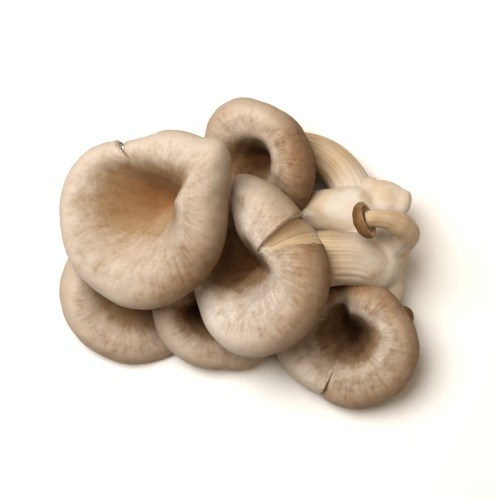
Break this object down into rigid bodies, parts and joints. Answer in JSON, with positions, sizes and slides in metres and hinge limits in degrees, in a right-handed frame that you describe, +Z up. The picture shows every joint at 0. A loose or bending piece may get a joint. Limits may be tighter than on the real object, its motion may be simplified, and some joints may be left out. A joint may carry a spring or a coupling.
{
  "type": "oyster mushroom cluster",
  "caption": "Cluster of tan funnel-capped oyster mushrooms with pale gilled stems that join in one base, lying on its side with the caps facing up.",
  "frame": {"origin": "on the resting plane, under the middle of the cluster's box", "axes": "+Z up from the resting plane, on the side that the caps face; +X from the large cap towards the base; +Y towards the top cap"},
  "size_m": [0.1566, 0.1344, 0.0742],
  "materials": {
    "skin_tan": "matt velvety tan skin with faint darker streaks round the funnel",
    "skin_shaded": "matt velvety tan skin, a little deeper",
    "skin_brown": "matt dark brown skin of the young buds",
    "flesh_cream": "matt cream gills and fibrous stems",
    "base_ivory": "matt pale lumpy flesh of the base"
  },
  "bodies": {
    "root": {"cap_right": "skin_tan", "cap_centre": "skin_tan", "cap_left": "skin_tan", "cap_top": "skin_tan", "cap_low_middle": "skin_shaded", "cap_low_left": "skin_shaded", "cap_bud": "skin_brown", "cap_small_bud": "skin_brown", "gills_stem_right": "flesh_cream", "gills_stem_centre": "flesh_cream", "gills_stem_left": "flesh_cream", "gills_stem_top": "flesh_cream", "gills_stem_low_middle": "flesh_cream", "gills_stem_low_left": "flesh_cream", "stem_bud": "flesh_cream", "stem_small_bud": "flesh_cream", "base": "base_ivory"}
  },
  "joints": []
}
